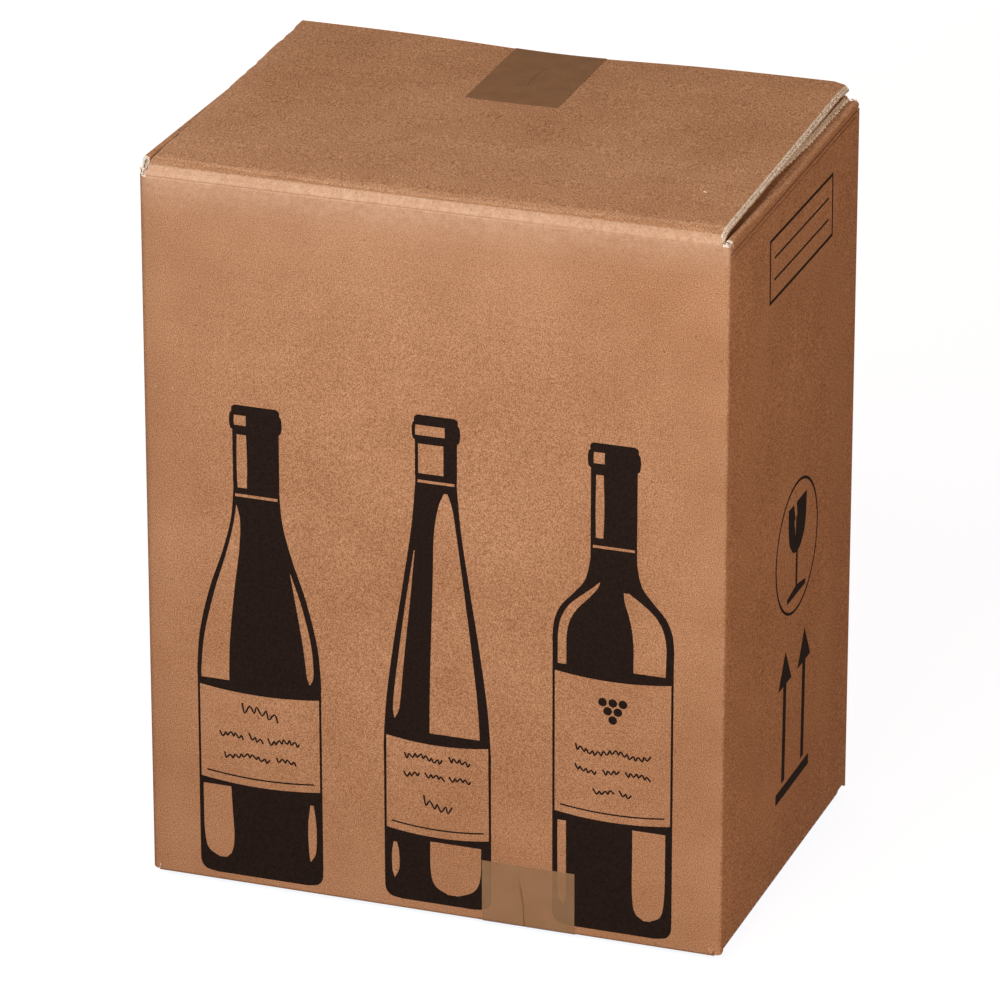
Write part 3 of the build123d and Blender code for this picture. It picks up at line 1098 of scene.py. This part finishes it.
def label(sides, x, foot, low, high, lines):
    """A bare label with a rule and pen lines, each as (height share, half length, height, words)."""
    def edge(z, share):
        across = np.linspace(-share, share, 17)
        half = np.interp(z, sides[:, 1], sides[:, 0]) - LINE
        return np.stack([x + across * half, foot + z - LABEL_SAG * (1 - across**2)], 1)

    bare = np.concatenate([edge(low, 1.0), edge(high, 1.0)[::-1]])
    rule = np.concatenate([edge(low + LABEL_RULE[0], 0.9), edge(low + LABEL_RULE[1], 0.9)[::-1]])
    rows = [scribble(x, foot + low + (high - low) * share, *line) for share, *line in lines]
    return [bare, rule, *(word for row in rows for word in row)]


def bottle(x, foot, half, neck, height, shoulder, gleams, label_span, lines):
    """A dark bottle with bare gleams and a label."""
    sides = bottle_sides(half, neck, height, shoulder)
    patches = [gleam(sides, x, foot, spans) for spans in gleams]
    return [bottle_outline(sides, x, foot), *patches, *label(sides, x, foot, *label_span, lines)]


# The bottles on the front: shoulders as (half width, height), bare gleams as heights with shares of the half
# width, and the rows of a label
SLOPING_SHOULDER = [(34, 116), (32.2, 136), (26.5, 160), (19.0, 182), (14.2, 200), (12.6, 216)]
SLOPING_GLEAMS = [
    [(110, -0.97, -0.5), (126, -0.96, -0.5), (146, -0.94, -0.5), (166, -0.93, -0.52), (186, -0.94, -0.58),
     (200, -0.95, -0.7), (208, -0.93, -0.9)],
    [(114, 0.84, 0.86), (120, 0.8, 0.92), (140, 0.78, 0.93), (160, 0.8, 0.91), (174, 0.86, 0.88)],
    [(9, -0.72, -0.6), (13, -0.9, -0.5), (22, -0.96, -0.46), (36, -0.97, -0.48), (50, -0.97, -0.5)],
    [(14, 0.82, 0.84), (20, 0.8, 0.92), (34, 0.79, 0.93), (46, 0.83, 0.89)],
    [(213, -1, 1), (214.6, -1, 1)],
    [(218, -0.9, -0.45), (231, -0.92, -0.42), (247, -0.9, -0.45)],
    [(252, -0.9, -0.4), (257.5, -0.9, -0.4)],
]
SLOPING_ROWS = [(0.76, 10, 9, (9,)), (0.48, 22, 5, (9, 5, 12)), (0.27, 20, 4.4, (16, 7))]
SLENDER_SHOULDER = [(29, 88), (27.4, 112), (23.5, 142), (18.2, 176), (13.4, 208), (11.2, 232)]
SLENDER_GLEAMS = [
    [(96, -0.15, 0.84), (120, -0.15, 0.85), (150, -0.14, 0.86), (180, -0.12, 0.88), (206, -0.1, 0.88),
     (221, 0.1, 0.8), (229, 0.4, 0.6)],
    [(102, -0.86, -0.84), (110, -0.9, -0.76), (140, -0.9, -0.76), (170, -0.9, -0.78), (196, -0.87, -0.83)],
    [(6, 0.2, 0.4), (10, -0.05, 0.7), (18, -0.14, 0.83), (35, -0.15, 0.85)],
    [(12, -0.86, -0.84), (17, -0.9, -0.76), (26, -0.9, -0.76), (32, -0.87, -0.8)],
    [(233.5, -1, 1), (235, -1, 1)],
    [(238.5, -0.95, 0.4), (254.5, -0.95, 0.4)],
    [(259, -0.95, 0.4), (264.5, -0.95, 0.4)],
]
SLENDER_ROWS = [(0.8, 18, 5, (14, 8)), (0.6, 18, 4.4, (6, 7, 8)), (0.3, 8, 8, (8,))]
SQUARE_SHOULDER = [(32, 162), (31, 170), (27.5, 178), (21, 185.5), (15.2, 193), (12.6, 203)]
SQUARE_GLEAMS = [
    [(146, -0.95, -0.8), (158, -0.95, -0.8), (168, -0.94, -0.78), (176, -0.92, -0.72), (183, -0.86, -0.62),
     (189, -0.7, -0.52), (193, -0.54, -0.5)],
    [(146, 0.35, 0.9), (158, 0.35, 0.91), (168, 0.33, 0.9), (177, 0.3, 0.86), (184, 0.28, 0.74),
     (189, 0.32, 0.5)],
    [(12, -0.86, -0.84), (18, -0.94, -0.8), (40, -0.95, -0.8), (59, -0.95, -0.8)],
    [(9, 0.55, 0.66), (13, 0.4, 0.85), (24, 0.35, 0.91), (44, 0.35, 0.92), (59, 0.35, 0.92)],
    [(211.5, -1, 1), (213, -1, 1)],
    [(217, -0.86, -0.5), (232, -0.88, -0.46), (251, -0.86, -0.5)],
    [(257, -0.86, -0.4), (263, -0.86, -0.4)],
]
SQUARE_ROWS = [(0.46, 20, 5, (26,)), (0.32, 20, 4.4, (8, 6, 9)), (0.18, 10, 4, (7, 4))]
SQUARE_X = 97.0
GRAPES_Z = 131.0
GRAPES = [(-5.4, 5.4), (0, 5.4), (5.4, 5.4), (-2.7, 0.7), (2.7, 0.7), (0, -4.0)]


def make_front_print(material):
    """Three plain bottles of different shapes, each with a label."""
    sheet = Sheet()
    bottles = [
        bottle(-94.0, 8.0, 34.0, 12.6, 263.0, SLOPING_SHOULDER, SLOPING_GLEAMS, (54.0, 106.0), SLOPING_ROWS),
        bottle(3.0, 9.0, 29.0, 11.2, 270.0, SLENDER_SHOULDER, SLENDER_GLEAMS, (40.0, 92.0), SLENDER_ROWS),
        bottle(SQUARE_X, 8.5, 32.0, 12.2, 268.0, SQUARE_SHOULDER, SQUARE_GLEAMS, (64.0, 142.0), SQUARE_ROWS),
    ]
    bottles[-1] += [circle(SQUARE_X + x, GRAPES_Z + z, 2.3, 24) for x, z in GRAPES]
    for outlines in bottles:
        add_print(sheet, outlines, on_front)
    return make_piece("front_print", sheet, [material])


def arrow(y):
    """An arrow that points up, on its shaft."""
    shaft = 2.6
    barb = 11.2
    head = ARROW_TIP - 18.8
    half = np.array([(shaft, ARROW_BASE), (shaft, head), (barb, head), (0, ARROW_TIP)])
    return np.concatenate([half, (half * (-1, 1))[-2::-1]]) + (y, 0)


def goblet(y, rim, foot):
    """A plain stemmed glass with a cracked rim."""
    stem = 1.4
    low = rim - 28
    right = curve([(15.4, rim), (15.2, rim - 10), (12.8, rim - 20), (6.6, low + 1.6), (stem, low)], 6)
    base = np.array([(stem, foot + 5.0), (15.6, foot + 2.8), (15.6, foot)])
    half = np.concatenate([right, base])
    crack = [(-6.4, 0), (-3.4, -8.8), (-5.2, -9.6), (-3.0, -19), (-2.0, -8.0), (-0.4, -7.2), (-1.6, 0)]
    return np.concatenate([half, (half * (-1, 1))[::-1], np.array(crack) + (0, rim)])[::-1] + (y, 0)


def make_side_print(material):
    """Handling marks on the right side: a glass in a ring, two arrows on a bar, and an empty ruled field."""
    sheet = Sheet()
    ring = [circle(MARKS_Y, RING_Z, radius) for radius in RING_RADII]
    field = box(FIELD_SPAN[0], FIELD_HEIGHTS[0], FIELD_SPAN[1], FIELD_HEIGHTS[1])
    rules = [box(RULE_SPAN[0], z, RULE_SPAN[1], z + LINE) for z in RULE_HEIGHTS]
    marks = [
        [*ring, goblet(MARKS_Y, GLASS_RIM, GLASS_FOOT)],
        *([arrow(MARKS_Y + offset)] for offset in ARROW_OFFSETS),
        [box(MARKS_Y - BAR_HALF, BAR_HEIGHTS[0], MARKS_Y + BAR_HALF, BAR_HEIGHTS[1])],
        [field, inset(field, FIELD_LINE), *rules],
    ]
    for outlines in marks:
        add_print(sheet, outlines, on_right)
    return make_piece("side_print", sheet, [material])


# Torn paper

def add_tear(sheet, start, end, up, out, heights, slot):
    """A ragged lip of torn liner that stands on a line and curls outward; heights run along it."""
    start, end, up, out = (np.array(v, float) for v in (start, end, up, out))
    count = len(heights)
    rows = []
    for k in (0.0, 0.5, 1.0):
        for thick in (0.0, TEAR_THICKNESS):
            ring = [
                start + (end - start) * i / (count - 1) + up * h * k + out * (h * TEAR_CURL * k * k + thick)
                for i, h in enumerate(heights)
            ]
            rows.append(sheet.add(np.array(ring), np.zeros(count)))
    inner = rows[0::2]
    outer = rows[1::2]
    for layer in (inner, outer):
        for a, b in zip(layer, layer[1:]):
            for i in range(count - 1):
                sheet.face((a + i, a + i + 1, b + i + 1, b + i), slot)
    for near, far in ((inner[0], outer[0]), (inner[-1], outer[-1])):
        for i in range(count - 1):
            sheet.face((near + i, near + i + 1, far + i + 1, far + i), slot)
    for i in (0, count - 1):
        for k in (0, 1):
            sheet.face((inner[k] + i, inner[k + 1] + i, outer[k + 1] + i, outer[k] + i), slot)


def add_tears(sheet):
    """Torn lips at the corner slots and a flake on the top: start, end, up, out, heights and slot."""
    left = FLAP_INSET - RIGHT
    right = RIGHT - FLAP_INSET
    across, behind = FLAKE
    top = OUTER_CREASE[1] + OUTER_SLOPE * (behind - OUTER_CREASE[0]) + flap_lift(across, behind) + 0.03
    tears = [
        ((right - 0.4, FRONT + 0.6, POST_TOP - 0.5), (RIGHT - 0.6, FRONT + 0.4, POST_TOP),
         (0, 0.3, 1), (0, -0.5, 0.2), (0.5, 1.9, 1.1, 2.4, 1.4, 0.6), EDGE_SLOT),
        ((RIGHT - 0.4, FRONT + 0.8, POST_TOP), (RIGHT - 0.3, FRONT + 7.0, POST_TOP + 0.3),
         (-0.2, 0, 1), (0.5, 0, 0.1), (0.8, 1.6, 0.9, 1.9, 1.2, 0.5), EDGE_SLOT),
        ((RIGHT - 6.8, FRONT + 0.1, 8.2), (RIGHT - 3.4, FRONT + 0.1, 7.8),
         (0, 0, -1), (0, -1, 0), (0.5, 1.8, 2.4, 2.0, 0.6), LINER_SLOT),
        ((left - 0.1, FRONT - 0.05, 4.4), (left + 0.5, FRONT - 0.05, 7.8),
         (1, 0, 0), (0, -0.4, 0), (0.5, 0.9, 0.5, 0.7, 0.2), EDGE_SLOT),
        ((across - 1.1, FRONT + behind, top), (across + 1.1, FRONT + behind - 0.3, top),
         (0, 1, 0.03), (0, 0, 0.3), (0.3, 1.0, 0.8, 0.2), EDGE_SLOT),
        ((RIGHT - 4.2, BACK - 4.2, DUST_BACK + 0.4), (RIGHT - 0.6, BACK - 4.0, DUST_BACK - 0.6),
         (0, 0.1, 1), (0.3, 0.3, 0), (0.4, 1.1, 0.6, 1.3, 0.5), EDGE_SLOT),
    ]
    for tear in tears:
        add_tear(sheet, *tear)


kraft = kraft_liner()
paper = cut_paper()
ink = printing_ink()
# One tape in two copies: the top strip's darker film is painted shade, the bottom strip's paler film a
# painted sheen
top_film_painted_shade = brown_tape("brown_tape_top_painted_shade", (155, 115, 83), (167, 125, 91), 0.55)
bottom_film_painted_sheen = brown_tape("brown_tape_bottom_painted_sheen", (182, 143, 107), (194, 154, 117), 0.42)

sheet = Sheet()
add_wrap(sheet)
add_posts(sheet)
add_top_flaps(sheet)
add_bottom_flaps(sheet)
add_tears(sheet)
carton = make_piece("carton_board", sheet, [kraft, paper])
top_tape = make_top_tape(top_film_painted_shade)
bottom_tape = make_bottom_tape(bottom_film_painted_sheen)
front_print = make_front_print(ink)
side_print = make_side_print(ink)
for piece, node in ((carton, "carton"), (top_tape, "top_tape"), (bottom_tape, "bottom_tape")):
    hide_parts(node)
for piece in (carton, top_tape, bottom_tape, front_print, side_print):
    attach(piece, "root")


# Floor, lights and camera

def make_floor():
    """A floor that the camera sees as white with a soft shadow; it throws back a dim brown light."""
    mesh = bpy.data.meshes.new("floor")
    size = 12.0
    corners = [(-size, -size, 0), (size, -size, 0), (size, size, 0), (-size, size, 0)]
    mesh.from_pydata(corners, [], [(0, 1, 2, 3)])
    floor = bpy.data.objects.new("floor", mesh)
    bpy.context.scene.collection.objects.link(floor)
    material, tree, bsdf = new_material("floor_white")
    bsdf.inputs["Base Color"].default_value = (0.32, 0.17, 0.08, 1)
    bsdf.inputs["Roughness"].default_value = 1.0
    bsdf.inputs["Specular IOR Level"].default_value = 0.0
    glow = add_node(tree, "ShaderNodeEmission", Color=(0.87, 0.92, 0.96, 1), Strength=1.0)
    both = add_node(tree, "ShaderNodeAddShader", [(0, bsdf.outputs[0]), (1, glow.outputs[0])])
    rays = add_node(tree, "ShaderNodeLightPath").outputs
    seen = maths(tree, "MAXIMUM", rays["Is Camera Ray"], rays["Is Glossy Ray"])
    seen = maths(tree, "MAXIMUM", seen, rays["Is Transmission Ray"])
    choose = add_node(tree, "ShaderNodeMixShader", [(0, seen), (1, bsdf.outputs[0]), (2, both.outputs[0])])
    tree.links.new(choose.outputs[0], tree.nodes["Material Output"].inputs["Surface"])
    mesh.materials.append(material)


LIGHT_TARGET = Vector((0, 0, 0.2))


def add_softbox(name, place, size, power, colour):
    light = bpy.data.lights.new(name, "AREA")
    light.shape = "RECTANGLE"
    light.size, light.size_y = size
    light.energy = power
    light.color = colour
    lamp = bpy.data.objects.new(name, light)
    lamp.location = place
    lamp.rotation_euler = (LIGHT_TARGET - Vector(place)).to_track_quat("-Z", "Y").to_euler()
    bpy.context.scene.collection.objects.link(lamp)


def make_world():
    world = bpy.data.worlds.new("studio")
    bpy.context.scene.world = world
    world.use_nodes = True
    background = world.node_tree.nodes["Background"]
    background.inputs["Color"].default_value = (1.0, 0.67, 0.43, 1)
    background.inputs["Strength"].default_value = 0.25


CAMERA_AZIMUTH = 19.59
CAMERA_ELEVATION = 22.61
CAMERA_DISTANCE = 3.558
CAMERA_TARGET = (-0.0021, 0.0, 0.1903)
FOCAL_PER_FRAME = 6.874
SENSOR = 36.0


def make_camera():
    camera = bpy.data.cameras.new("camera")
    camera.sensor_width = SENSOR
    camera.lens = FOCAL_PER_FRAME * SENSOR
    camera.clip_end = 50.0
    holder = bpy.data.objects.new("camera", camera)
    azimuth = math.radians(CAMERA_AZIMUTH)
    elevation = math.radians(CAMERA_ELEVATION)
    back = Vector((
        math.sin(azimuth) * math.cos(elevation),
        -math.cos(azimuth) * math.cos(elevation),
        math.sin(elevation),
    ))
    holder.location = Vector(CAMERA_TARGET) + back * CAMERA_DISTANCE
    holder.rotation_euler = (-back).to_track_quat("-Z", "Y").to_euler()
    bpy.context.scene.collection.objects.link(holder)
    bpy.context.scene.camera = holder


make_floor()
make_world()
add_softbox("key", (-0.25, -1.3, 1.3), (0.9, 0.9), 23.6, (0.925, 1.005, 1.05))
add_softbox("right_fill", (0.95, -0.7, 0.66), (0.6, 0.6), 4.3, (1.0, 0.87, 0.73))
add_softbox("back_fill", (-1.1, 1.7, 0.21), (0.8, 0.3), 17.0, (1.0, 0.92, 0.84))
make_camera()
bpy.context.scene.view_settings.view_transform = "Standard"
